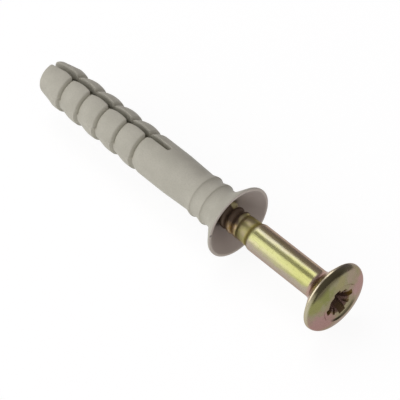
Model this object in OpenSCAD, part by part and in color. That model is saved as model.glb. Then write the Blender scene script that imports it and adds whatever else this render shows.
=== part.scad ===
// Hammer fixing plug: a barbed and slotted sleeve with a trumpet collar, and the drive screw that spreads it.
// Millimetres. The axis is X with the screw's head towards +X, Z is up,
// and the origin lies on the axis in the front plane of the collar.

/* [Sleeve] */
// Diameter over the barbs, the nominal drill size
plug_d = 6; // [5.8:0.05:6.6]
// Length from the tip to the collar's front plane
sleeve_len = 36.75; // [36.5:0.05:42]
// Diameter of the blunt end at the tip
tip_d = 5.1; // [4.6:0.02:5.3]
// Rounding of the edge at the tip
tip_round = 0.8; // [0.1:0.05:0.9]
// Length from the tip to the first groove
tip_len = 4.6; // [4.4:0.05:6]

/* [Barbs] */
// Barbs between the tip and the neck
barb_count = 4; // [2:1:4]
// Distance from groove to groove
barb_pitch = 3.64; // [3.2:0.02:3.9]
// Depth of the grooves between the barbs
groove_depth = 0.7; // [0.4:0.01:0.7]
// Depth of a barb's foot below its crest
foot_depth = 0.4; // [0.2:0.02:0.4]
// Length of the short slope from the groove up to the foot
foot_len = 0.2; // [0.1:0.05:0.5]
// Length of a barb's gentle rise, from its groove to its crest
barb_rise = 2.3; // [2:0.05:2.8]
// Depth of a barb's rounded fall, from its crest to the step
fall_depth = 0.14; // [0.06:0.02:0.24]
// Length of the step from the fall down into the groove
step_len = 0.22; // [0.1:0.02:0.35]

/* [Neck and rings] */
// Diameter of the straight run of the neck
neck_d = 5.9; // [5.7:0.02:6]
// Length of the straight run of the neck
neck_run = 4.6; // [3:0.1:6]
// Length of the rise from the last groove to the neck
neck_rise = 1.4; // [0.8:0.1:2]
// Diameter in the hollows beside the rings
hollow_d = 5.54; // [5.3:0.02:5.7]
// Grip rings between the neck and the collar
ring_count = 2; // [1:1:3]
// Height of a ring over its hollows
ring_height = 0.24; // [0.1:0.01:0.4]
// Length of a ring's gentle rise to its crest
ring_rise = 1.2; // [0.8:0.05:1.5]
// Distance from ring to ring
ring_pitch = 1.93; // [1.6:0.01:2.2]

/* [Collar] */
// Diameter of the collar's rim
collar_d = 10.2; // [9.8:0.1:11]
// Thickness of the rim's edge
rim_edge = 0.3; // [0.2:0.05:0.5]
// Width of the flat ring on the front of the rim
rim_face = 0.36; // [0.25:0.02:0.5]
// Half angle of the collar's cone and its dish
seat_angle = 45; // [42:0.5:48]
// Radius that blends the collar's cone into the last hollow
collar_blend = 1.9; // [0.6:0.1:2.4]
// Radius that rounds the mouth of the guide bore in the dish
mouth_blend = 0.74; // [0.4:0.02:1]

/* [Slot] */
// Width of the slot between the two legs, at the tip
slot_w = 1; // [0.5:0.05:1.1]
// Width of the slot at its round end, to which it tapers
slot_end_w = 0.75; // [0.4:0.05:1]
// Length of the slot from the tip to its round end
slot_len = 23.4; // [15:0.1:26]
// Turn of the slot about the axis, away from upright
slot_turn = 8; // [0:1:45]

/* [Drive screw] */
// Length of the screw from its point to the top of the dome, as it is before the recess is pressed
screw_len = 37.2; // [36:0.1:37.6]
// Diameter of the plain shank
shank_d = 3.92; // [3.7:0.02:4]
// Diameter over the thread's crests
thread_d = 3.56; // [3.3:0.02:3.66]
// Distance from the rim's back to the shank's full diameter
shank_len = 13; // [10:0.1:14]
// Length of the taper from the shank down to the neck over the thread
shoulder_len = 0.9; // [0.5:0.1:1.4]
// Length of the pointed end
point_len = 3; // [2:0.1:4]
// Diameter of the blunt point
point_d = 0.8; // [0.5:0.1:1.2]
// Distance that the screw stands out of the collar before it is driven
stand_out = 16.55; // [16:0.05:18]
// Clearance round the screw in its bore
bore_gap = 0.06; // [0.03:0.01:0.1]
// Room left in the bore past the end of the travel
end_gap = 0.4; // [0.3:0.05:0.6]
// Gap between the cone under the head and the dish's edge when driven home
seat_gap = 0.06; // [0.03:0.01:0.1]

/* [Screw head] */
// Diameter of the head
head_d = 9.7; // [9.2:0.1:10]
// Width of the straight edge round the head
head_edge = 0.05; // [0.02:0.01:0.3]
// Radius of the rounding behind that edge
back_round = 0.2; // [0.1:0.02:0.3]
// Radius of the rounding from that edge into the dome
front_round = 1; // [0.3:0.05:1.2]
// Radius of the domed top
dome_r = 12; // [10:0.5:16]
// Half angle of the cone under the head
under_angle = 55; // [52:1:66]
// Radius that blends the shank into that cone
head_blend = 1.5; // [0.8:0.1:1.6]
// Diameter of the shallow ring pressed round the recess, at its floor
press_d = 5.2; // [4.9:0.05:5.6]
// Depth of that floor below the top of the dome
press_depth = 0.5; // [0.42:0.02:0.6]
// Slope of that ring's edge from the axis
press_slope = 50; // [40:1:60]
// Turn of the cross recess about the axis
recess_turn = 15; // [0:1:45]
// Distance across the wings of the cross recess, level with the top of the dome
recess_span = 4.85; // [4.4:0.05:5]
// Width of the recess's wings
wing_w = 1; // [0.8:0.05:1.3]
// Diameter of the recess's core between the wings, at the same level
core_d = 3.3; // [2.8:0.05:3.6]
// Depth of the recess below the top of the dome
recess_depth = 2.4; // [1.8:0.05:2.6]
// Slope of the wings' ends from the axis
wing_slope = 26; // [20:1:28]
// Width of the four ticks between the wings
tick_w = 0.4; // [0.3:0.02:0.5]
// Distance across the ticks, at the same level
tick_span = 4.2; // [3.9:0.05:4.4]
// Depth of the ticks below the top of the dome
tick_depth = 1.1; // [0.8:0.05:1.4]

/* [Hidden] */

// Steps round a full turn, and along one curved stretch of an outline
turn_steps = 96;
curve_steps = 8;
// Overlap that lets a cut run clear of a face
cut_over = 1;

// Radii
crest_r = plug_d / 2;
groove_r = crest_r - groove_depth;
foot_r = crest_r - foot_depth;
neck_r = neck_d / 2;
hollow_r = hollow_d / 2;
collar_r = collar_d / 2;
shank_r = shank_d / 2;
thread_r = thread_d / 2;
head_r = head_d / 2;
dish_r = collar_r - rim_face;
guide_r = shank_r + bore_gap;
pilot_r = thread_r + bore_gap;
vent_r = point_d / 2 + bore_gap;

// Stations along the axis of the sleeve
tip_x = -sleeve_len;
first_groove_x = tip_x + tip_len;
last_groove_x = first_groove_x + barb_count * barb_pitch;
neck_x = last_groove_x + neck_rise;
cone_back_x = -rim_edge - (collar_r - hollow_r) / tan(seat_angle);
rings_end_x = cone_back_x - collar_blend * tan(seat_angle / 2);
rings_x = rings_end_x - ring_count * ring_pitch;
fall_len = barb_pitch - barb_rise - step_len;
ring_drop = ring_pitch - ring_rise;

// Stations along the axis of the screw before it is driven
rim_x = stand_out;
shank_x = rim_x - shank_len;
shoulder_x = shank_x - shoulder_len;
head_cone_x = rim_x - (head_r - shank_r) / tan(under_angle);

// The back rounding touches the cone and the head's edge, the front one the edge and the dome.
back_round_x = rim_x + back_round * tan(under_angle / 2);
front_round_x = back_round_x + head_edge;
dome_angle = asin((head_r - front_round) / (dome_r - front_round));
dome_centre_x = front_round_x - (dome_r - front_round) * cos(dome_angle);
dome_x = dome_centre_x + dome_r;
point_x = dome_x - screw_len;

// Travel that brings the cone under the head down to the dish's edge, and what the bore needs for it
drive_travel = stand_out - (head_r - dish_r) / tan(under_angle) - seat_gap / sin(under_angle);
guide_end_x = shoulder_x - drive_travel - end_gap;
bore_end_x = point_x - drive_travel - end_gap;

// Station where the dish would meet the guide bore
mouth_x = -(dish_r - guide_r) / tan(seat_angle);

// Outline points are [radius, station]. An arc runs round its centre from one angle to another.
function arc(centre, r, from, to, steps = curve_steps) =
    [for (i = [0:steps]) let (a = from + (to - from) * i / steps) centre + r * [cos(a), sin(a)]];

// A gentle rise of a given height along a quarter sine
function sine_rise(low_r, height, x, len) =
    [for (i = [0:curve_steps]) [low_r + height * sin(90 * i / curve_steps), x + len * i / curve_steps]];

// A rounded fall of a given height along a quarter cosine
function cosine_fall(top_r, height, x, len) =
    [for (i = [0:curve_steps])
        [top_r - height * (1 - cos(90 * i / curve_steps)), x + len * i / curve_steps]];

// The way up from the bottom of a groove, by the short slope and then the gentle rise
function climb(x, top_r, len) =
    concat([[groove_r, x]], sine_rise(foot_r, top_r - foot_r, x + foot_len, len - foot_len));

// One barb, from the groove at its tip side to the edge of the step at its collar side
function barb(x) = concat(
    climb(x, crest_r, barb_rise),
    cosine_fall(crest_r, fall_depth, x + barb_rise, fall_len));

// The blend from a straight run at radius r into a cone of a half angle that starts at station x
function cone_blend(r, x, blend, angle) =
    arc([r + blend, x - blend * tan(angle / 2)], blend, 180, 180 - angle);

// A soft rise of a given height along half a cosine wave
function soft_rise(low_r, height, x, len) =
    [for (i = [0:curve_steps])
        [low_r + height * (1 - cos(180 * i / curve_steps)) / 2, x + len * i / curve_steps]];

// One grip ring, a soft rise to its crest and a hollow drop along a quarter ellipse into the next
function ring(x) = concat(
    soft_rise(hollow_r, ring_height, x, ring_rise),
    [for (i = [1:curve_steps])
        let (a = 90 * i / curve_steps)
        [hollow_r + ring_height * (1 - sin(a)), x + ring_rise + ring_drop * (1 - cos(a))]]);

sleeve_outline = concat(
    [[0, tip_x]],
    arc([tip_d / 2 - tip_round, tip_x + tip_round], tip_round, -90, 0),
    cosine_fall(crest_r, fall_depth, first_groove_x - step_len - fall_len, fall_len),
    [for (k = [0:barb_count - 1]) each barb(first_groove_x + k * barb_pitch)],
    climb(last_groove_x, neck_r, neck_rise),
    [[neck_r, neck_x + neck_run]],
    [for (k = [0:ring_count - 1]) each ring(rings_x + k * ring_pitch)],
    cone_blend(hollow_r, cone_back_x, collar_blend, seat_angle),
    [[collar_r, -rim_edge], [collar_r, 0], [0, 0]]);

// The dish narrows to the guide bore, then to the pilot bore, and a small hole runs out through the tip.
bore_outline = concat(
    [[0, tip_x - cut_over], [vent_r, tip_x - cut_over]],
    [[vent_r, bore_end_x], [pilot_r, bore_end_x + point_len]],
    [[pilot_r, guide_end_x], [guide_r, guide_end_x + guide_r - pilot_r]],
    cone_blend(guide_r, mouth_x, mouth_blend, seat_angle),
    [[dish_r + cut_over * tan(seat_angle), cut_over], [0, cut_over]]);

screw_outline = concat(
    [[0, point_x], [point_d / 2, point_x], [thread_r, point_x + point_len]],
    soft_rise(thread_r, shank_r - thread_r, shoulder_x, shoulder_len),
    cone_blend(shank_r, head_cone_x, head_blend, under_angle),
    arc([head_r - back_round, back_round_x], back_round, -under_angle, 0),
    arc([head_r - front_round, front_round_x], front_round, 0, 90 - dome_angle),
    [for (i = [1:curve_steps])
        let (a = dome_angle * (1 - i / curve_steps))
        [dome_r * sin(a), dome_centre_x + dome_r * cos(a)]]);

// Turns an outline about the X axis
module turned(outline) {
    rotate([0, 90, 0]) rotate_extrude($fn = turn_steps) polygon(outline);
}

// A slot right through both walls, which tapers to a round end towards the collar
module leg_slot() {
    end_x = tip_x + slot_len - slot_end_w / 2;
    rotate([-slot_turn, 0, 0]) {
        translate([0, 0, -plug_d]) linear_extrude(2 * plug_d) polygon([
            [tip_x - cut_over, -slot_w / 2],
            [end_x, -slot_end_w / 2],
            [end_x, slot_end_w / 2],
            [tip_x - cut_over, slot_w / 2]]);
        translate([end_x, 0, -plug_d]) cylinder(d = slot_end_w, h = 2 * plug_d, $fn = turn_steps);
    }
}

// One arm right across the head, as wide as given and as deep as given below the top of the dome
module cross_arm(width, depth) {
    translate([dome_x - depth, -head_r, -width / 2]) cube([depth + cut_over, head_d, width]);
}

// A cone that narrows into the head by a slope, with its span level with the top of the dome
module recess_cone(span, depth, slope = wing_slope) {
    top_r = span / 2 + cut_over * tan(slope);
    low_r = span / 2 - depth * tan(slope);
    translate([dome_x - depth, 0, 0]) rotate([0, 90, 0])
        cylinder(r1 = low_r, r2 = top_r, h = depth + cut_over, $fn = turn_steps);
}

// Cross recess with four wings, a round core and four ticks between the wings, in its pressed ring
module cross_recess() {
    intersection() {
        recess_cone(recess_span, recess_depth);
        union() {
            cross_arm(wing_w, recess_depth);
            rotate([90, 0, 0]) cross_arm(wing_w, recess_depth);
        }
    }
    intersection() {
        recess_cone(tick_span, tick_depth);
        union() {
            rotate([45, 0, 0]) cross_arm(tick_w, tick_depth);
            rotate([-45, 0, 0]) cross_arm(tick_w, tick_depth);
        }
    }
    recess_cone(core_d, recess_depth);
    recess_cone(press_d + 2 * press_depth * tan(press_slope), press_depth, press_slope);
}

// The sleeve, moulded in one with its collar
module sleeve() {
    color([0.70, 0.69, 0.62])
    difference() {
        turned(sleeve_outline);
        turned(bore_outline);
        leg_slot();
    }
}

// The screw, with its thread as the plain cylinder over the crests
module drive_screw() {
    color([0.72, 0.67, 0.36])
    difference() {
        turned(screw_outline);
        rotate([recess_turn, 0, 0]) cross_recess();
    }
}

sleeve();
drive_screw();
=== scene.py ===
"""Looks of the hammer fixing plug: a matt nylon sleeve, a yellow passivated drive screw,
floor, lights and camera."""

import math

import bmesh
import bpy
import numpy as np
from mathutils import Matrix, Vector


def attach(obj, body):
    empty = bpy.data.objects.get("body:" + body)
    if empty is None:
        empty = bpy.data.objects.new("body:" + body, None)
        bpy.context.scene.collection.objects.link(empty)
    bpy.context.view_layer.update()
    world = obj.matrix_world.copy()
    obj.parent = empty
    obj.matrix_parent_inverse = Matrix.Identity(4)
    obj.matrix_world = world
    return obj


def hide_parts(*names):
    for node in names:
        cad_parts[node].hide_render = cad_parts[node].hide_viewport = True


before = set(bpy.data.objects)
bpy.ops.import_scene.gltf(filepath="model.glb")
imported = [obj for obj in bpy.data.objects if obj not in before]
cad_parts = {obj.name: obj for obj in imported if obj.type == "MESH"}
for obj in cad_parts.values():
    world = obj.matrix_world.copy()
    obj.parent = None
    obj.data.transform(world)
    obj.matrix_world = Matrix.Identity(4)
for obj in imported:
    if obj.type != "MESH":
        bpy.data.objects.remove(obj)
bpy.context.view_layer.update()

MM = 0.001
PI = math.pi
TINY = 1e-6

# Sizes of the sleeve in millimetres, as in the part's source
PLUG_R, TIP_R, TIP_ROUND = 3.0, 2.55, 0.8
TIP_X, TIP_LEN = -36.75, 4.6
BARBS, BARB_PITCH, GROOVE_DEPTH, BARB_RISE = 4, 3.64, 0.7, 2.3
FOOT_DEPTH, FOOT_LEN, FALL_DEPTH, STEP_LEN = 0.4, 0.2, 0.14, 0.22
NECK_R, HOLLOW_R, NECK_RUN, NECK_RISE = 2.95, 2.77, 4.6, 1.4
RINGS, RING_HEIGHT, RING_PITCH, RING_RISE = 2, 0.24, 1.93, 1.2
COLLAR_R, RIM_EDGE, RIM_FACE, COLLAR_BLEND = 5.1, 0.3, 0.36, 1.9
SLOT_HALF, SLOT_END_HALF, SLOT_LEN, SLOT_TURN = 0.5, 0.375, 23.4, math.radians(8)
BORE_GAP, END_GAP, SEAT_GAP, MOUTH_BLEND = 0.06, 0.4, 0.06, 0.74
SEAT = math.radians(45)

# Sizes of the screw in millimetres, as in the part's source
SHANK_R, THREAD_R, SHANK_LEN, SHOULDER_LEN = 1.96, 1.78, 13.0, 0.9
POINT_LEN, POINT_R, SCREW_LEN, STAND_OUT = 3.0, 0.4, 37.2, 16.55
HEAD_R, HEAD_EDGE, BACK_ROUND, FRONT_ROUND = 4.85, 0.05, 0.2, 1.0
DOME_R, HEAD_BLEND, UNDER = 12.0, 1.5, math.radians(55)
PRESS_R, PRESS_DEPTH, PRESS_SLOPE = 2.6, 0.5, math.tan(math.radians(50))
RECESS_TURN, WING_R, WING_HALF, CORE_R = math.radians(15), 2.425, 0.5, 1.65
RECESS_DEPTH, WING_SLOPE = 2.4, math.tan(math.radians(26))
TICK_R, TICK_HALF, TICK_DEPTH = 2.1, 0.2, 1.1

# Stations and radii that follow from them
GROOVE_R, FOOT_R = PLUG_R - GROOVE_DEPTH, PLUG_R - FOOT_DEPTH
FALL_LEN = BARB_PITCH - BARB_RISE - STEP_LEN
GROOVES = [TIP_X + TIP_LEN + k * BARB_PITCH for k in range(BARBS + 1)]
NECK_X = GROOVES[-1] + NECK_RISE
CONE_BACK = -RIM_EDGE - (COLLAR_R - HOLLOW_R)
RINGS_END = CONE_BACK - COLLAR_BLEND * math.tan(SEAT / 2)
RINGS_X = RINGS_END - RINGS * RING_PITCH
SLOT_END = TIP_X + SLOT_LEN
SLOT_ROUND_X = SLOT_END - SLOT_END_HALF
DISH_R = COLLAR_R - RIM_FACE
GUIDE_R, PILOT_R, VENT_R = SHANK_R + BORE_GAP, THREAD_R + BORE_GAP, POINT_R + BORE_GAP
SHANK_X = STAND_OUT - SHANK_LEN
SHOULDER_X = SHANK_X - SHOULDER_LEN
BACK_ROUND_X = STAND_OUT + BACK_ROUND * math.tan(UNDER / 2)
FRONT_ROUND_X = BACK_ROUND_X + HEAD_EDGE
DOME_ANGLE = math.asin((HEAD_R - FRONT_ROUND) / (DOME_R - FRONT_ROUND))
DOME_CENTRE = FRONT_ROUND_X - (DOME_R - FRONT_ROUND) * math.cos(DOME_ANGLE)
DOME_X = DOME_CENTRE + DOME_R
FLOOR_X = DOME_X - PRESS_DEPTH
POINT_X = DOME_X - SCREW_LEN
TRAVEL = STAND_OUT - (HEAD_R - DISH_R) / math.tan(UNDER) - SEAT_GAP / math.sin(UNDER)
GUIDE_END = SHOULDER_X - TRAVEL - END_GAP
BORE_END = POINT_X - TRAVEL - END_GAP
MOUTH_X = -(DISH_R - GUIDE_R)


class Skin:
    """Rings of points joined by bands of faces, welded into one closed mesh."""

    WELD = 0.0004

    def __init__(self):
        self.points, self.faces = [], []

    def ring(self, points):
        start = len(self.points)
        self.points.extend(np.asarray(points).tolist())
        return list(range(start, start + len(points)))

    def band(self, a, b, closed=False):
        for i in range(len(a) if closed else len(a) - 1):
            j = (i + 1) % len(a)
            self.faces.append((a[i], a[j], b[j], b[i]))

    def loft(self, rings, closed=False):
        for a, b in zip(rings, rings[1:]):
            self.band(a, b, closed)

    def wall(self, start, stop, steps):
        """Even rows of faces from one row of points to another."""
        self.loft([self.ring(start + (stop - start) * t) for t in np.linspace(0, 1, steps + 1)])

    def fan(self, a, tip):
        k = self.ring([tip])[0]
        self.faces += [(a[i], a[(i + 1) % len(a)], k) for i in range(len(a))]

    def build(self, name, material, sharp):
        mesh = bpy.data.meshes.new(name)
        mesh.from_pydata((np.array(self.points) * MM).tolist(), [], self.faces)
        bm = bmesh.new()
        bm.from_mesh(mesh)
        bmesh.ops.remove_doubles(bm, verts=bm.verts, dist=self.WELD * MM)
        bmesh.ops.recalc_face_normals(bm, faces=bm.faces)
        bm.to_mesh(mesh)
        bm.free()
        mesh.shade_smooth()
        mesh.set_sharp_from_angle(angle=math.radians(sharp))
        mesh.materials.append(material)
        obj = bpy.data.objects.new(name, mesh)
        bpy.context.scene.collection.objects.link(obj)
        return obj


def clamp(t):
    return min(1.0, max(0.0, t))


def smooth(t):
    t = clamp(t)
    return t * t * (3 - 2 * t)


def arc(cx, cr, r, start, stop, steps):
    """Points (station, radius) on an arc, with angles from the radial direction towards +X."""
    a = np.radians(np.linspace(start, stop, steps + 1))
    return [(cx + r * math.sin(t), cr + r * math.cos(t)) for t in a]


def line(a, b, steps):
    """Points (station, radius) on a straight stretch."""
    return [(a[0] + (b[0] - a[0]) * t, a[1] + (b[1] - a[1]) * t) for t in np.linspace(0, 1, steps + 1)]


def cone_blend(r, x, blend, angle, steps):
    """The blend from a straight run at radius r into a cone of a half angle that starts at station x."""
    return arc(x - blend * math.tan(angle / 2), r + blend, blend, 180, 180 - math.degrees(angle), steps)


def joined(*stretches):
    """One outline from stretches, with repeated points left out."""
    out = []
    for p in (p for s in stretches for p in s):
        if not out or abs(p[0] - out[-1][0]) + abs(p[1] - out[-1][1]) > TINY:
            out.append(p)
    return out


# The sleeve: two legs share their columns, and close up past the end of the slot.

# Softened corners, as steps along the axis and across it
FALL_SHARE, STEP_CORNER, STEP_TOE = 0.93, ((0.01, -0.035), (0.05, -0.11)), (-0.03, 0.045)
RING_RISE_SHARE, RING_DROP_START = 0.96, 0.1
RIM_SOFT, RIM_CORNER = 0.08, ((-0.02, -0.025), (0.06, 0.0))
DISH_SOFT, DISH_CORNER = 0.03, ((-0.012, 0.006), (-0.04, -0.04))
MOUTH_REACH, GUIDE_CHAMFER, SLOT_MARGIN = 0.4, 0.15, 0.3

# The slot's rounded edges, outside and in the bore, and the least radius that leaves room for them
EDGE, INNER_EDGE, EDGE_COLS, EDGE_ROOM = 0.07, 0.02, 3, 1.03
WALL_STEPS = 6

# Columns round a leg, as shares of its turn: even ones, and close ones at the parting line midway
LEG_COLS, SEAM_REACH, SEAM_COLS = 27, 0.022, (-0.014, -0.007, -0.003, 0, 0.003, 0.007, 0.014)
LEG_T = np.concatenate([np.linspace(0, 0.5 - SEAM_REACH, LEG_COLS)[1:], 0.5 + np.array(SEAM_COLS),
                        np.linspace(0.5 + SEAM_REACH, 1, LEG_COLS)[:-1]])

# The parting line: its width in radians, its height, and how it fills and nicks the grooves
SEAM_WIDTH, SEAM_HEIGHT, GROOVE_FILL, GROOVE_NICK = 0.012, 0.006, 0.28, 0.22
GROOVE_BEFORE, GROOVE_AFTER = 1.2 * STEP_LEN, 0.3

# The mould's halves differ: fuller barb ends in the lower one, deeper grooves in the upper one
LOW_SWELL, LOW_START, LOW_REACH, LOW_FILL = 0.1, 0.7 * BARB_PITCH, 0.6 * BARB_PITCH, 0.5
HIGH_CUT, HIGH_RISE, HIGH_FADE, HIGH_REACH = 0.15, 0.08, 0.4, BARB_PITCH - 0.5


def climb(x, top, length, steps):
    """From a groove up its steep foot, then by a rounded rise."""
    foot, rise = x + FOOT_LEN, length - FOOT_LEN
    return line((x, GROOVE_R), (foot, FOOT_R), steps=3) + [
        (foot + rise * t, FOOT_R + (top - FOOT_R) * math.sin(PI / 2 * t))
        for t in np.linspace(0, 1, steps + 1)]


def fall(x):
    """From a barb's crest down its rounded fall, then by the step into the groove."""
    end, low = x + FALL_LEN, PLUG_R - FALL_DEPTH
    crest = [(x + FALL_LEN * t, PLUG_R - FALL_DEPTH * (1 - math.cos(PI / 2 * t)))
             for t in np.linspace(0, FALL_SHARE, 9)]
    corner = [(end + along, low + across) for along, across in STEP_CORNER]
    toe = (end + STEP_LEN + STEP_TOE[0], GROOVE_R + STEP_TOE[1])
    return crest + corner + [toe, (end + STEP_LEN, GROOVE_R)]


def grip_ring(x):
    """A soft rise, and a rounded drop behind it."""
    crest, drop = x + RING_RISE, RING_PITCH - RING_RISE
    rise = [(x + RING_RISE * t, HOLLOW_R + RING_HEIGHT * (1 - math.cos(PI * t)) / 2)
            for t in np.linspace(0, RING_RISE_SHARE, 13)]
    return rise + [(crest + drop * (1 - math.cos(a)), HOLLOW_R + RING_HEIGHT * (1 - math.sin(a)))
                   for a in np.linspace(RING_DROP_START, PI / 2, 13)]


def sleeve_outline():
    """From the tip's end face along the barbs, the neck and the collar to the rim's front ring."""
    tip_crest = GROOVES[0] - STEP_LEN - FALL_LEN
    barbs = [p for x in GROOVES[:-1] for p in climb(x, PLUG_R, BARB_RISE, steps=12) + fall(x + BARB_RISE)]
    rings = [p for k in range(RINGS) for p in grip_ring(RINGS_X + k * RING_PITCH)]
    flare = cone_blend(HOLLOW_R, CONE_BACK, COLLAR_BLEND, SEAT, steps=10)
    rim = [(along - RIM_EDGE, COLLAR_R + across) for along, across in RIM_CORNER]
    return joined(
        arc(TIP_X + TIP_ROUND, TIP_R - TIP_ROUND, TIP_ROUND, -90, 0, steps=6),
        line((TIP_X + TIP_ROUND, TIP_R), (tip_crest, PLUG_R), steps=16),
        fall(tip_crest),
        barbs,
        climb(GROOVES[-1], NECK_R, NECK_RISE, steps=10),
        line((NECK_X, NECK_R), (NECK_X + NECK_RUN, NECK_R), steps=14),
        line((NECK_X + NECK_RUN, NECK_R), (RINGS_X, HOLLOW_R), steps=8),
        rings,
        flare,
        line(flare[-1], (-RIM_EDGE - RIM_SOFT, COLLAR_R - RIM_SOFT), steps=10),
        rim,
        arc(-RIM_SOFT, COLLAR_R - RIM_SOFT, RIM_SOFT, 0, 90, steps=4),
    )


def dish_outline():
    """From the rim's front ring down the dish and the guide bore to the slot's end."""
    corner = [(along, DISH_R + across) for along, across in DISH_CORNER]
    return joined(
        line((0, COLLAR_R - RIM_SOFT), (0, DISH_R + DISH_SOFT), steps=2),
        corner,
        line(corner[-1], (MOUTH_X + MOUTH_REACH, GUIDE_R + MOUTH_REACH), steps=12),
        cone_blend(GUIDE_R, MOUTH_X, MOUTH_BLEND, SEAT, steps=6)[::-1],
        line((MOUTH_X - MOUTH_REACH, GUIDE_R), (SLOT_END + SLOT_MARGIN, GUIDE_R), steps=10),
    )


def bore_radius(x):
    if x < BORE_END:
        return VENT_R
    if x < BORE_END + POINT_LEN:
        return VENT_R + (PILOT_R - VENT_R) * (x - BORE_END) / POINT_LEN
    if x < GUIDE_END:
        return PILOT_R
    return min(GUIDE_R, PILOT_R + x - GUIDE_END)


def slot_half(x):
    if x <= SLOT_ROUND_X:
        return SLOT_HALF + (SLOT_END_HALF - SLOT_HALF) * (x - TIP_X) / (SLOT_ROUND_X - TIP_X)
    return math.sqrt(max(0.0, SLOT_END_HALF**2 - (x - SLOT_ROUND_X) ** 2))


def groove_depth(x, r):
    """How deep a groove is at a station in it, and nothing on a barb."""
    if any(-GROOVE_BEFORE < x - g < GROOVE_AFTER for g in GROOVES):
        return min(GROOVE_DEPTH, max(0.0, PLUG_R - r))
    return 0.0


def mould_low(x):
    """How much fuller a barb's end is in the mould's lower half."""
    end = next((g for g in GROOVES if x <= g), None)
    if end is None:
        return 0.0
    down = clamp((x - (end - STEP_LEN - FALL_LEN)) / FALL_LEN)
    swell = LOW_SWELL * smooth((x - end + LOW_START) / LOW_REACH)
    swell += LOW_FILL * FALL_DEPTH * (1 - math.cos(PI / 2 * down))
    return swell * min(1.0, (end - x) / STEP_LEN)


def mould_high(x):
    """How much deeper a groove is in the mould's upper half, less and less along the barb behind it."""
    near = [x - g for g in GROOVES if -HIGH_RISE < x - g < HIGH_REACH]
    return HIGH_CUT * sum(smooth(d / HIGH_RISE + 1) * math.exp(-max(0.0, d) / HIGH_FADE) for d in near)


def leg_rings(x, r, inner=False, groove=0.0, low=0.0, high=0.0):
    """The two legs' points at one station, from one edge of the slot to the other."""
    w = slot_half(x)
    edge = INNER_EDGE if inner else EDGE
    r = max(r, EDGE_ROOM * (w + edge))
    t = np.linspace(0, PI / 2, EDGE_COLS + 1)
    cut = edge * (1 - np.sin(t)) * min(1.0, w / SLOT_END_HALF) * (-1 if inner else 1)
    first, last = r - high - cut, r + low - cut
    top, bottom = (np.arcsin((w + edge * (1 - np.cos(t))) / radii) for radii in (first, last))
    mid = top[-1] + (PI - top[-1] - bottom[-1]) * LEG_T
    # The mould's halves meet midway round each leg: a fine line, and a shallower groove below it.
    seam = np.exp(-(((mid - PI / 2) / SEAM_WIDTH) ** 2))
    below = 1 / (1 + np.exp(-(mid - PI / 2) / SEAM_WIDTH))
    middle = r - high + (low + high) * below
    if not inner:
        middle = middle + groove * (GROOVE_FILL * below - GROOVE_NICK * seam) + SEAM_HEIGHT * seam
    phi = np.concatenate([top, mid, PI - bottom[::-1]])
    radii = np.concatenate([first, middle, last[::-1]])
    u, v = radii * np.cos(phi), radii * np.sin(phi)
    c, s = math.cos(SLOT_TURN), math.sin(SLOT_TURN)
    return [np.stack([np.full_like(u, x), u * s + k * v * c, u * c - k * v * s], 1) for k in (1, -1)]


def sleeve_stations():
    """The outline with further stations where the slot's end is round and the bore changes."""
    outline = sleeve_outline()
    xs, rs = zip(*outline)
    extra = [SLOT_ROUND_X + SLOT_END_HALF * math.sin(PI / 2 * t) for t in np.linspace(0, 1, 9)]
    extra += [GUIDE_END, GUIDE_END + GUIDE_CHAMFER]
    return sorted(outline + [(x, float(np.interp(x, xs, rs))) for x in extra])


def build_sleeve(material):
    skin = Skin()
    stations = sleeve_stations()
    outer = []
    for x, r in stations:
        legs = leg_rings(x, r, groove=groove_depth(x, r), low=mould_low(x), high=mould_high(x))
        outer.append([skin.ring(p) for p in legs])
    bore = [(x, bore_radius(x)) for x, _ in stations if x <= SLOT_END + TINY]
    inner = [[skin.ring(p) for p in leg_rings(x, r, inner=True)] for x, r in bore]
    dish = [[skin.ring(p) for p in leg_rings(x, r, inner=True)] for x, r in dish_outline()]
    chain = outer + dish + inner[::-1]
    for a, b in zip(chain, chain[1:]):
        for k in range(2):
            skin.band(a[k], b[k])
    points = np.array(skin.points)
    for k in range(2):
        # The tip's end face runs from the outside in to the small hole.
        skin.wall(points[outer[0][k]], points[inner[0][k]], WALL_STEPS)
        # The slot's walls run from each leg's outer edges in to the bore.
        for col in (0, -1):
            edge_row, bore_row = ([legs[k][col] for legs in rows[:len(inner)]] for rows in (outer, inner))
            skin.wall(points[edge_row], points[bore_row], WALL_STEPS)
    return skin.build("sleeve_skin", material, sharp=38)


# The screw: one set of columns runs from the point to the bottom of the recess.

# The thread: its form, where it turns to, and where it runs in and out
PITCH, ROOT_R, BLANK_R, CREST_R = 1.17, 1.52, 1.74, THREAD_R - 0.01
THREAD_PHASE, CREST_FLAT, FLANK = 0.37, 0.1, 0.8
RUN_IN_X, RUN_IN, RUN_OUT_X, RUN_OUT = POINT_X + 0.6, 2.6, 1.5, 1.1
TURN_ROWS, FIRST_ROW, LAST_ROW, BLANK_X = 22, POINT_X + 0.05, 2.36, 2.42

# Softened corners of the pressed ring, as steps along the axis and across it
PRESS_SOFT = 0.07
PRESS_TOP, PRESS_FOOT = ((-0.012, -0.01), (-0.05, -0.055)), ((0.045, 0.05), (0.012, 0.005))

# The worn lead-in cone between the recess's wings
LEAD_R, LEAD_SLOPE = 1.88, 0.42

# Columns between the corners of a quarter of the recess, and the angles that keep corners apart
QUARTER = [4, 6, 4, 2, 2, 2, 2, 4, 6, 4]
COLUMNS = 4 * sum(QUARTER)
WING_SPREAD, NO_TICK, TICK_APART = math.radians(36), (0.155, 0.13), (0.004, 0.012)
LEAST_SINE = 1e-4


def turned(x, r, phi):
    return np.stack([x + 0 * phi, r * np.cos(phi), r * np.sin(phi)], 1)


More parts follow.
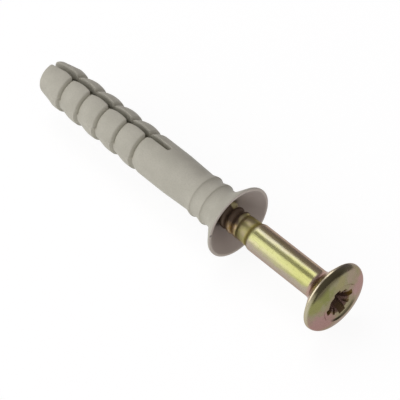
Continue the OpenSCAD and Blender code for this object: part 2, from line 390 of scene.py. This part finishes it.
def recess_columns(depth, ticks):
    """Column angles that keep to the corners of the recess at a depth."""
    wing, core, tick = (r - depth * WING_SLOPE for r in (WING_R, CORE_R, TICK_R))
    wing_end = math.asin(WING_HALF / wing)
    wing_root = math.asin(min(math.sin(WING_SPREAD), WING_HALF / core))
    halves = [math.asin(TICK_HALF / r) for r in (core, tick)] if ticks else NO_TICK
    tick_marks = [max(PI / 4 - half, wing_root + apart) for half, apart in zip(halves, TICK_APART)]
    marks = [0, wing_end, wing_root, *tick_marks, PI / 4]
    marks += [PI / 2 - a for a in marks[-2::-1]]
    quarter = np.concatenate([np.linspace(a, b, n, endpoint=False)
                              for a, b, n in zip(marks, marks[1:], QUARTER)])
    return np.concatenate([quarter + k * PI / 2 for k in range(4)]) + RECESS_TURN


def recess_radius(phi, depth, ticks):
    """Distance from the axis to the recess's wall."""
    def arm(reach, half, angle):
        sine = np.maximum(np.abs(np.sin(angle)), LEAST_SINE)
        return np.minimum(reach - depth * WING_SLOPE, half / sine)

    from_wing = np.mod(phi - RECESS_TURN + PI / 4, PI / 2) - PI / 4
    from_tick = np.mod(phi - RECESS_TURN, PI / 2) - PI / 4
    out = np.maximum(CORE_R - depth * WING_SLOPE, arm(WING_R, WING_HALF, from_wing))
    return np.maximum(out, arm(TICK_R, TICK_HALF, from_tick)) if ticks else out


def lead(r):
    """Depth of the lead-in cone."""
    return LEAD_SLOPE * np.maximum(0.0, LEAD_R - r)


def dome_x(r):
    return DOME_CENTRE + np.sqrt(DOME_R**2 - r**2)


def press_mouth():
    """Radius at which the pressed ring's cone meets the dome, found by repeated steps."""
    r = PRESS_R
    for _ in range(30):
        r = PRESS_R + PRESS_SLOPE * (dome_x(r) - FLOOR_X)
    return r


def thread_radius(x, phi):
    """A right-hand thread between its root and crest, running out at both ends."""
    u = np.mod(x / PITCH - phi / (2 * PI) + THREAD_PHASE, 1.0)
    d = np.clip((np.abs(u - 0.5) * 2 - CREST_FLAT) / FLANK, 0, 1)
    form = ROOT_R + (CREST_R - ROOT_R) * (0.5 + 0.5 * np.cos(PI * d))
    blank = BLANK_R if x > 0 else ROOT_R
    fade = clamp((RUN_OUT_X - x) / RUN_OUT) * clamp((x - RUN_IN_X) / RUN_IN)
    return blank + (form - blank) * smooth(fade)


def thread_rows(phi):
    """Rows (station, radius, angles) over the point's flat end and along the thread."""
    rows = [(POINT_X, POINT_R * t, phi) for t in np.linspace(0.25, 1, 4)]
    for x in np.arange(FIRST_ROW, LAST_ROW, PITCH / TURN_ROWS):
        limit = POINT_R + (CREST_R - POINT_R) * min(1.0, (x - POINT_X) / POINT_LEN)
        rows.append((x, np.minimum(thread_radius(x, phi), limit), phi))
    return rows


def body_outline():
    """From the plain neck behind the thread along the shank to the dome's edge."""
    cone_x = STAND_OUT - (HEAD_R - SHANK_R) / math.tan(UNDER)
    under = cone_blend(SHANK_R, cone_x, HEAD_BLEND, UNDER, steps=12)
    rim = arc(BACK_ROUND_X, HEAD_R - BACK_ROUND, BACK_ROUND, -math.degrees(UNDER), 0, steps=6)
    return joined(
        line((BLANK_X, BLANK_R), (SHOULDER_X, BLANK_R), steps=4),
        [(SHOULDER_X + SHOULDER_LEN * t, BLANK_R + (SHANK_R - BLANK_R) * (1 - math.cos(PI * t)) / 2)
         for t in np.linspace(0, 1, 12)],
        line((SHANK_X, SHANK_R), under[0], steps=30),
        under,
        line(under[-1], rim[0], steps=12),
        rim,
        arc(FRONT_ROUND_X, HEAD_R - FRONT_ROUND, FRONT_ROUND, 0, 90 - math.degrees(DOME_ANGLE), steps=12),
    )


def crown_outline():
    """The dome, and the ring pressed in it down to its floor."""
    mouth_r = press_mouth()
    dome = np.linspace(DOME_R * math.sin(DOME_ANGLE), mouth_r + PRESS_SOFT, 10)[1:]
    top = [(dome_x(mouth_r) + along, mouth_r + across) for along, across in PRESS_TOP]
    foot = [(FLOOR_X + along, PRESS_R + across) for along, across in PRESS_FOOT]
    return [(dome_x(r), r) for r in dome] + top + foot + [(FLOOR_X, PRESS_R - PRESS_SOFT)]


def crown_rows(phi):
    """Rows over the crown and the ring's floor, from even columns to those of the recess's mouth."""
    mouth_phi = recess_columns(PRESS_DEPTH, ticks=True)
    mouth = recess_radius(mouth_phi, PRESS_DEPTH, ticks=True)
    crown = crown_outline()
    rows = [(x, r, phi + (mouth_phi - phi) * 0.5 * k / len(crown)) for k, (x, r) in enumerate(crown)]
    for t in np.linspace(0.1, 1, 10):
        r = PRESS_R - PRESS_SOFT + (mouth + 2 * PRESS_SOFT - PRESS_R) * t
        rows.append((FLOOR_X - lead(r), r, phi + (mouth_phi - phi) * (0.5 + 0.5 * t)))
    for t in (0.35, 0.7, 1.0):
        r = mouth + PRESS_SOFT * (1 - math.sin(PI / 2 * t))
        rows.append((FLOOR_X - lead(r) - PRESS_SOFT * (1 - math.cos(PI / 2 * t)), r, mouth_phi))
    return rows


def recess_rows():
    """Rows down the recess's walls, past the ends of its ticks, and in over its bottom."""
    rows = []
    top = PRESS_DEPTH + PRESS_SOFT
    for depth in np.linspace(top, TICK_DEPTH, 5)[1:]:
        phi = recess_columns(depth, ticks=True)
        r = recess_radius(phi, depth, ticks=True)
        rows.append((DOME_X - np.maximum(depth, top + lead(r)), r, phi))
    for depth in np.linspace(TICK_DEPTH, RECESS_DEPTH, 7):
        phi = recess_columns(depth, ticks=depth == TICK_DEPTH)
        rows.append((DOME_X - depth, recess_radius(phi, depth, ticks=False), phi))
    bottom_x, bottom_r, phi = rows[-1]
    return rows + [(bottom_x, bottom_r * t, phi) for t in (0.7, 0.35)]


def build_screw(material):
    skin = Skin()
    even = np.arange(COLUMNS) * 2 * PI / COLUMNS + RECESS_TURN
    rows = thread_rows(even) + [(x, r, even) for x, r in body_outline()] + crown_rows(even) + recess_rows()
    rings = [skin.ring(turned(*row)) for row in rows]
    skin.loft(rings, closed=True)
    skin.fan(rings[0], (POINT_X, 0, 0))
    skin.fan(rings[-1], (DOME_X - RECESS_DEPTH, 0, 0))
    return skin.build("screw_skin", material, sharp=34)


# Materials

# The Mix node's colour sockets
MIX_A, MIX_B, MIX_OUT = 6, 7, 2


class Nodes:
    """Short calls for building one material's nodes, with places in millimetres."""

    def __init__(self, name):
        self.material = bpy.data.materials.new(name)
        self.material.use_nodes = True
        self.tree = self.material.node_tree
        self.shader = self.tree.nodes["Principled BSDF"]
        coords = self.tree.nodes.new("ShaderNodeTexCoord")
        self.place = self.math3("SCALE", coords.outputs["Object"], scale=1 / MM)
        split = self.tree.nodes.new("ShaderNodeSeparateXYZ")
        self.link(self.place, split.inputs[0])
        self.x = split.outputs[0]
        self.across = self.math3("MULTIPLY", self.place, (0, 1, 1))
        self.rho = self.math3("LENGTH", self.across)

    def link(self, value, socket):
        if isinstance(value, bpy.types.NodeSocket):
            self.tree.links.new(value, socket)
        else:
            socket.default_value = value

    def math3(self, operation, a, b=None, scale=None):
        n = self.tree.nodes.new("ShaderNodeVectorMath")
        n.operation = operation
        self.link(a, n.inputs[0])
        if b is not None:
            self.link(b, n.inputs[1])
        if scale is not None:
            self.link(scale, n.inputs["Scale"])
        return n.outputs["Value" if operation in ("DOT_PRODUCT", "LENGTH", "DISTANCE") else "Vector"]

    def math(self, operation, a, b):
        n = self.tree.nodes.new("ShaderNodeMath")
        n.operation = operation
        self.link(a, n.inputs[0])
        self.link(b, n.inputs[1])
        return n.outputs[0]

    def times(self, first, *others):
        for other in others:
            first = self.math("MULTIPLY", first, other)
        return first

    def facing(self, direction):
        """How squarely a place lies in a direction from the axis, from -1 to 1."""
        return self.math3("DOT_PRODUCT", self.math3("NORMALIZE", self.across), direction)

    def span(self, value, low, high, to_low=0.0, to_high=1.0):
        """A smooth step as a value goes from low to high."""
        n = self.tree.nodes.new("ShaderNodeMapRange")
        n.interpolation_type = "SMOOTHSTEP"
        for k, v in (("Value", value), ("From Min", low), ("From Max", high),
                     ("To Min", to_low), ("To Max", to_high)):
            self.link(v, n.inputs[k])
        return n.outputs[0]

    def noise(self, scale, detail, stretch=None, offset=None):
        place = self.place
        if stretch:
            place = self.math3("MULTIPLY", place, stretch)
        if offset:
            place = self.math3("ADD", place, offset)
        n = self.tree.nodes.new("ShaderNodeTexNoise")
        self.link(place, n.inputs["Vector"])
        self.link(scale, n.inputs["Scale"])
        self.link(detail, n.inputs["Detail"])
        return n.outputs[0]

    def mix(self, factor, a, b):
        n = self.tree.nodes.new("ShaderNodeMix")
        n.data_type = "RGBA"
        self.link(factor, n.inputs[0])
        for value, socket in ((a, n.inputs[MIX_A]), (b, n.inputs[MIX_B])):
            self.link(value if isinstance(value, bpy.types.NodeSocket) else (*value, 1.0), socket)
        return n.outputs[MIX_OUT]

    def ramp(self, factor, stops):
        n = self.tree.nodes.new("ShaderNodeValToRGB")
        self.link(factor, n.inputs[0])
        elements = n.color_ramp.elements
        for k, (position, colour) in enumerate(stops):
            e = elements[k] if k < 2 else elements.new(position)
            e.position, e.color = position, (*colour, 1.0)
        return n.outputs[0]

    def bump(self, height, distance, strength):
        n = self.tree.nodes.new("ShaderNodeBump")
        self.link(strength, n.inputs["Strength"])
        self.link(distance * MM, n.inputs["Distance"])
        self.link(height, n.inputs["Height"])
        self.link(n.outputs[0], self.shader.inputs["Normal"])

    def put(self, values):
        for name, value in values.items():
            self.link(value, self.shader.inputs[name])


# Colours of the nylon, the dish's painted pink shade, the rim face's painted highlight,
# and the one larger speck on the collar's rim
NYLON_PALE, NYLON_DEEP = (0.565, 0.55, 0.465), (0.52, 0.507, 0.425)
NYLON_SPECK, NYLON_POWDER = (0.30, 0.285, 0.235), (0.42, 0.41, 0.34)
DISH_SHADE_PINK, RIM_HIGHLIGHT = (0.53, 0.455, 0.435), (0.66, 0.6, 0.54)
DIRT, DIRT_PLACE = (0.12, 0.11, 0.1), (0, -4.83, 0.97)


def nylon():
    """Matt grey-beige nylon, clouded and powdery, with specks; painted pink shade in the dish, a painted
    highlight on the rim.
    """
    n = Nodes("nylon_matt")
    clouds = n.span(n.noise(0.45, detail=4.0), 0.32, 0.68)
    specks = n.span(n.noise(2.6, detail=2.0, offset=(7, 3, 1)), 0.68, 0.78)
    powder = n.span(n.noise(6.5, detail=3.0, offset=(3, 8, 6)), 0.4, 0.66)
    grain = n.noise(5.0, detail=5.0)
    dish = n.span(n.math("SUBTRACT", n.rho, n.x), 5.2, 5.05)
    rim = n.times(dish, n.span(n.x, -0.03, -0.005))
    dirt = n.span(n.math3("DISTANCE", n.place, DIRT_PLACE), 0.26, 0.08)
    colour = n.mix(clouds, NYLON_PALE, NYLON_DEEP)
    colour = n.mix(n.times(specks, 0.25), colour, NYLON_SPECK)
    colour = n.mix(n.times(powder, 0.3), colour, NYLON_POWDER)
    # Painted shade: the dish pinker and a little darker. Painted highlight: the rim's face paler.
    colour = n.mix(n.times(dish, 0.8), colour, DISH_SHADE_PINK)
    colour = n.mix(rim, colour, RIM_HIGHLIGHT)
    colour = n.mix(n.times(dirt, 0.8), colour, DIRT)
    n.put({"Base Color": colour, "Roughness": n.span(grain, 0.3, 0.7, 0.5, 0.66),
           "IOR": 1.46, "Specular IOR Level": 0.36})
    n.bump(n.math("ADD", grain, n.times(n.noise(14.0, detail=2.0), 0.5)), distance=0.02, strength=0.5)
    return n.material


# Colours of the zinc's film round the shank, as stops from its lower side to its upper one;
# real film tints, laid out as painted reflection, whiter along the highlight
SHANK_SIDE = (0, 0.825, 0.565)
SHANK_FILM_REFLECTIONS = (
    (0.0, (0.42, 0.36, 0.32)), (0.16, (0.45, 0.39, 0.29)), (0.26, (0.5, 0.47, 0.27)),
    (0.38, (0.48, 0.485, 0.215)), (0.6, (0.48, 0.47, 0.215)), (0.68, (0.49, 0.465, 0.31)),
    (0.74, (0.48, 0.45, 0.32)), (0.82, (0.47, 0.395, 0.225)), (0.92, (0.52, 0.425, 0.31)),
    (1.0, (0.4, 0.31, 0.26)),
)
SHANK_GREEN, SHANK_FLECK = (0.455, 0.455, 0.165), (0.33, 0.32, 0.13)

# Patches of the film on the head: place, reach and colour
HEAD_OLIVE, HEAD_FLECK = (0.27, 0.245, 0.15), (0.2, 0.15, 0.12)
HEAD_PATCHES = (
    ((0, -2.6, 3.0), 2.0, (0.205, 0.21, 0.075)),
    ((0, -4.2, 1.9), 1.7, (0.24, 0.235, 0.09)),
    ((0, -2.9, -1.8), 3.0, (0.34, 0.21, 0.195)),
    ((0, 4.0, 0.6), 2.9, (0.37, 0.242, 0.228)),
    ((0, 0.6, -4.2), 2.2, (0.33, 0.28, 0.24)),
    ((0, 0.2, 3.4), 1.3, (0.28, 0.25, 0.13)),
    ((0, 1.9, 3.3), 1.5, (0.31, 0.25, 0.185)),
)
# The head's edge, paler as a painted highlight, and its top band of painted dark reflection, pale at the rim
EDGE_HIGHLIGHT, EDGE_BROWN = (0.48, 0.44, 0.31), (0.3, 0.27, 0.22)
BAND_HIGHLIGHT, BAND_DARK_REFLECTION = (0.7, 0.62, 0.45), (0.11, 0.095, 0.055)

# Colours under the head, of the painted shade in the recess and its ring, and on the neck and the thread,
# with the thread's painted shade and glint
UNDER_MAUVE, UNDER_ROSE = (0.44, 0.3, 0.26), (0.5, 0.37, 0.31)
BACK_OLIVE, BACK_TAN = (0.47, 0.43, 0.22), (0.47, 0.36, 0.29)
CORE_SHADE, WING_SHADE_OLIVE, WING_SHADE_BROWN = (0.13, 0.074, 0.058), (0.2, 0.125, 0.025), (0.12, 0.075, 0.03)
RING_SHADE = (0.07, 0.06, 0.035)
NECK_OLIVE, NECK_TAN, SHOULDER_OLIVE = (0.4, 0.37, 0.16), (0.42, 0.36, 0.22), (0.4, 0.35, 0.12)
THREAD_BROWN, THREAD_TAN, ROOT_BROWN = (0.36, 0.26, 0.12), (0.4, 0.29, 0.2), (0.26, 0.16, 0.05)
THREAD_SHADE, THREAD_GLINT = (0.12, 0.086, 0.058), (0.6, 0.57, 0.32)
ZINC_TINT = (0.72, 0.62, 0.58, 1)


def shank_film(n, side, fine):
    """Film tints round the shank, mauve by tan and yellow to brown, set out as painted reflection; greener
    near the head.
    """
    green = n.times(n.span(n.x, 7.5, 12.5), n.span(side, 0.14, 0.26), n.span(side, 0.82, 0.66))
    flecks = n.span(fine, 0.52, 0.7)
    # The ramp paints reflection: its stops follow the view's sides round the shank, whiter along the
    # highlight.
    film = n.mix(n.times(green, 0.8), n.ramp(side, SHANK_FILM_REFLECTIONS), SHANK_GREEN)
    return n.mix(n.times(flecks, 0.3), film, SHANK_FLECK)


def head_film(n, sway, fine):
    """Patches of olive, green and mauve over the head, a paler edge as a painted highlight,
    and a band of painted dark reflection along its top, with a painted highlight at the rim.
    """
    film = HEAD_OLIVE
    for spot, reach, colour in HEAD_PATCHES:
        far = n.math("ADD", n.math3("DISTANCE", n.across, spot), n.times(sway, 3.0))
        film = n.mix(n.span(far, reach, reach * 0.35), film, colour)
    flecks = n.span(fine, 0.55, 0.72)
    film = n.mix(n.times(flecks, 0.3), film, HEAD_FLECK)
    # Painted highlight: the edge paler, yellow, browner towards the right side.
    right = n.span(n.facing((0, 0.6, 0.8)), 0.7, 0.95)
    at_edge = n.span(n.x, FRONT_ROUND_X + 0.55, FRONT_ROUND_X + 0.2)
    film = n.mix(at_edge, film, n.mix(right, EDGE_HIGHLIGHT, EDGE_BROWN))
    # Painted reflection: a dark band along the top, with a pale painted highlight at the rim.
    upper = n.span(n.facing((0, -0.4, 0.917)), 0.64, 0.97)
    bowed_x = n.math("SUBTRACT", n.x, n.times(upper, 0.62))
    in_band = n.times(upper, n.span(bowed_x, FRONT_ROUND_X + 0.5, FRONT_ROUND_X + 0.15))
    from_edge = n.span(n.x, FRONT_ROUND_X - 0.02, FRONT_ROUND_X + 0.16)
    return n.mix(in_band, film, n.mix(from_edge, BAND_HIGHLIGHT, BAND_DARK_REFLECTION))


def under_film(n, mottle):
    """Mauve where the shank meets the head, then olive and tan out to the edge."""
    blend = n.mix(n.span(mottle, 0.3, 0.7), UNDER_MAUVE, UNDER_ROSE)
    cone = n.mix(n.span(mottle, 0.42, 0.62), BACK_OLIVE, BACK_TAN)
    return n.mix(n.span(n.x, 15.0, 15.6), blend, cone)


def in_recess(n):
    """A mask that is 1 in the recess, below the ring's floor and the lead-in."""
    lead_in = n.times(n.math("MAXIMUM", n.math("SUBTRACT", LEAD_R, n.rho), 0.0), LEAD_SLOPE / 2)
    deep = n.span(n.math("ADD", n.x, lead_in), FLOOR_X - 0.01, FLOOR_X - 0.06)
    return n.times(n.span(n.rho, 2.5, 2.42), n.span(n.x, 15.7, 15.95), deep)


def neck_film(n, mottle):
    """Olive and tan on the plain neck, olive up to the shoulder."""
    film = n.mix(n.span(mottle, 0.4, 0.65), NECK_OLIVE, NECK_TAN)
    return n.mix(n.span(n.x, 2.4, 2.8), film, SHOULDER_OLIVE)


def thread_film(n, side, fine):
    """Brown and tan, browner in the roots, with painted shade on the upper side and inside the bore and a
    painted glint in one patch.
    """
    film = n.mix(n.span(fine, 0.42, 0.65), THREAD_BROWN, THREAD_TAN)
    film = n.mix(n.span(n.rho, 1.66, 1.56), film, ROOT_BROWN)
    # Painted shade on the upper side, less of it towards the neck, and all round deeper in the bore.
    past_light = n.span(n.math("SUBTRACT", side, n.span(n.x, 0.0, 0.9, 0.0, 0.16)), 0.16, 0.36)
    film = n.mix(n.math("MAXIMUM", past_light, n.span(n.x, -0.75, -1.0)), film, THREAD_SHADE)
    # A painted glint: one pale patch on the upper side, deeper in.
    glint = n.times(n.span(n.x, -0.9, -1.2), n.span(side, 0.72, 0.84))
    return n.mix(glint, film, THREAD_GLINT)


def zinc():
    """Yellow passivated zinc, whose film changes its colour from place to place, with painted highlights,
    reflections and shade.
    """
    n = Nodes("zinc_yellow")
    mottle = n.noise(1.1, detail=4.0, stretch=(0.5, 1.0, 1.0), offset=(11, 5, 2))
    fine = n.noise(3.2, detail=3.0, offset=(2, 9, 4))
    grain = n.noise(1.0, detail=4.0, stretch=(0.8, 7.0, 7.0))
    sway = n.math("SUBTRACT", mottle, 0.5)
    side = n.math("ADD", n.times(n.facing(SHANK_SIDE), 0.5), n.math("ADD", n.times(sway, 0.3), 0.5))
    lower = n.span(n.facing((0, 0.3, -0.95)), 0.55, 0.9)
    inside = in_recess(n)
    under = n.times(n.span(n.x, 13.8, 14.4), n.span(n.x, 16.7, 16.4))
    ring = n.times(n.span(n.rho, 2.5, 2.6), n.span(n.rho, 2.86, 2.78), n.span(n.x, 16.9, 17.2))
    neck = n.span(n.x, 3.4, 3.1)
    threaded = n.span(n.math("ADD", n.x, n.span(side, 0.4, 0.75, 0.0, 0.5)), 1.2, 0.8)

    colour = n.mix(n.span(n.x, 14.6, 15.6), shank_film(n, side, fine), head_film(n, sway, fine))
    colour = n.mix(under, colour, under_film(n, mottle))
    # Painted shade in the recess: dark brown, darker in the core and darkest on the lower wings.
    wing_shade = n.mix(lower, WING_SHADE_OLIVE, WING_SHADE_BROWN)
    colour = n.mix(inside, colour, n.mix(n.span(n.rho, 1.3, 1.9), CORE_SHADE, wing_shade))
    # Painted shade: a dark line in the pressed ring on its lower side.
    colour = n.mix(n.times(ring, lower, 0.9), colour, RING_SHADE)
    colour = n.mix(neck, colour, neck_film(n, mottle))
    colour = n.mix(threaded, colour, thread_film(n, side, fine))

    # The neck is rougher than the shank, the thread less so, and the recess is dull.
    rough = n.math("ADD", n.span(grain, 0.3, 0.7, 0.2, 0.3), n.span(n.x, 3.8, 3.4, 0.0, 0.2))
    rough = n.math("SUBTRACT", rough, n.span(n.x, 2.6, 2.0, 0.0, 0.12))
    rough = n.math("ADD", rough, n.times(inside, 0.3))
    dull = n.math("MAXIMUM", inside, n.times(threaded, 0.55))
    n.put({"Base Color": colour, "Metallic": n.span(dull, 0.0, 1.0, 1.0, 0.15),
           "Roughness": rough, "Specular Tint": ZINC_TINT})
    n.bump(n.math("ADD", grain, n.times(n.noise(6.0, detail=3.0), 0.4)), distance=0.006, strength=0.3)
    return n.material


sleeve = build_sleeve(nylon())
screw = build_screw(zinc())
for piece, body, node, slot in (
        (sleeve, "sleeve", "sleeve", "nylon"), (screw, "screw", "drive_screw", "zinc_yellow")):
    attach(piece, body)
    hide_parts(node)


# Floor, lights and camera

FLOOR_HALF, FLOOR_PALE, FLOOR_SEEN, FLOOR_GLOW = 0.5, (0.9, 0.9, 0.9, 1), (0.16, 0.16, 0.16, 1), 0.9
WORLD_LEAN, WORLD_LOW, WORLD_HIGH = (0, -0.5, 0.866), (0.25, 0.23, 0.24, 1), (0.49, 0.468, 0.48, 1)
IMAGE_PX, SENSOR_MM = 400, 36.0


def floor_material():
    """White where the camera or a reflection sees it, with the object's shadow left in;
    plain pale to other light."""
    material = bpy.data.materials.new("floor_white")
    material.use_nodes = True
    nodes, links = material.node_tree.nodes, material.node_tree.links
    nodes.clear()
    rays = nodes.new("ShaderNodeLightPath")
    seen = rays.outputs["Is Camera Ray"]
    for name in ("Is Glossy Ray", "Is Transmission Ray"):
        either = nodes.new("ShaderNodeMath")
        either.operation = "MAXIMUM"
        links.new(seen, either.inputs[0])
        links.new(rays.outputs[name], either.inputs[1])
        seen = either.outputs[0]
    tone = nodes.new("ShaderNodeMix")
    tone.data_type = "RGBA"
    tone.inputs[MIX_A].default_value = FLOOR_PALE
    tone.inputs[MIX_B].default_value = FLOOR_SEEN
    links.new(seen, tone.inputs[0])
    diffuse = nodes.new("ShaderNodeBsdfDiffuse")
    links.new(tone.outputs[MIX_OUT], diffuse.inputs["Color"])
    level = nodes.new("ShaderNodeMath")
    level.operation = "MULTIPLY"
    level.inputs[1].default_value = FLOOR_GLOW
    links.new(seen, level.inputs[0])
    glow = nodes.new("ShaderNodeEmission")
    links.new(level.outputs[0], glow.inputs["Strength"])
    both = nodes.new("ShaderNodeAddShader")
    links.new(diffuse.outputs[0], both.inputs[0])
    links.new(glow.outputs[0], both.inputs[1])
    out = nodes.new("ShaderNodeOutputMaterial")
    links.new(both.outputs[0], out.inputs[0])
    return material


def add_floor(z, half):
    mesh = bpy.data.meshes.new("floor")
    corners = [(x * half, y * half, z) for x, y in ((-1, -1), (1, -1), (1, 1), (-1, 1))]
    mesh.from_pydata(corners, [], [(0, 1, 2, 3)])
    mesh.materials.append(floor_material())
    obj = bpy.data.objects.new("floor", mesh)
    bpy.context.scene.collection.objects.link(obj)


def add_light(name, towards, distance, size, power, along=(1, 0, 0)):
    """A soft box in a direction from the object, its first side along a direction."""
    data = bpy.data.lights.new(name, "AREA")
    data.shape = "RECTANGLE"
    data.size, data.size_y = size
    data.energy = power
    obj = bpy.data.objects.new(name, data)
    back = Vector(towards).normalized()
    side = (Vector(along) - back * back.dot(Vector(along))).normalized()
    turn = Matrix((side, back.cross(side), back)).transposed()
    obj.matrix_world = Matrix.Translation(back * distance) @ turn.to_4x4()
    bpy.context.scene.collection.objects.link(obj)


def add_camera(azimuth, elevation, roll, distance, focal_px, left, down):
    """A camera turned by angles in degrees, then moved by millimetres: back, to its left and down."""
    a, e, r = (math.radians(v) for v in (azimuth, elevation, roll))
    back = Vector((math.sin(a) * math.cos(e), -math.cos(a) * math.cos(e), math.sin(e)))
    flat = Vector((math.cos(a), math.sin(a), 0))
    up = back.cross(flat)
    right, up = flat * math.cos(r) + up * math.sin(r), up * math.cos(r) - flat * math.sin(r)
    data = bpy.data.cameras.new("camera")
    data.sensor_width, data.sensor_fit = SENSOR_MM, "HORIZONTAL"
    data.lens = focal_px / IMAGE_PX * SENSOR_MM
    data.clip_start, data.clip_end = 0.01, 10
    obj = bpy.data.objects.new("camera", data)
    obj.matrix_world = (Matrix.Translation((back * distance - right * left - up * down) * MM)
                        @ Matrix((right, up, back)).transposed().to_4x4())
    bpy.context.scene.collection.objects.link(obj)
    bpy.context.scene.camera = obj


def add_world():
    """Soft light that is stronger from above and from the front."""
    world = bpy.data.worlds.new("studio")
    world.use_nodes = True
    nodes, links = world.node_tree.nodes, world.node_tree.links
    coords = nodes.new("ShaderNodeTexCoord")
    lean = nodes.new("ShaderNodeVectorMath")
    lean.operation = "DOT_PRODUCT"
    lean.inputs[1].default_value = WORLD_LEAN
    links.new(coords.outputs["Generated"], lean.inputs[0])
    ramp = nodes.new("ShaderNodeValToRGB")
    for element, position, colour in zip(ramp.color_ramp.elements, (0.0, 1.0), (WORLD_LOW, WORLD_HIGH)):
        element.position, element.color = position, colour
    links.new(lean.outputs["Value"], ramp.inputs[0])
    links.new(ramp.outputs[0], nodes["Background"].inputs["Color"])
    bpy.context.scene.world = world


add_floor(-COLLAR_R * MM, FLOOR_HALF)
add_world()
add_light("front_box", (-0.56, -0.73, 0.385), distance=0.45, size=(0.33, 0.43), power=0.55)
add_light("side_box", (0.15, -0.95, 0.28), distance=0.5, size=(0.35, 0.3), power=0.4)
add_light("top_box", (-0.525, 0.19, 0.83), distance=0.5, size=(0.3, 0.22), power=0.31)
add_light("front_card", (0.97, -0.1, 0.15), distance=0.5, size=(0.6, 0.15), power=0.28, along=(0, 1, 0))
add_camera(azimuth=47.023, elevation=45.797, roll=0.73, distance=269.518, focal_px=2144.131,
           left=4.894, down=-2.876)

bpy.context.scene.view_settings.view_transform = "Standard"
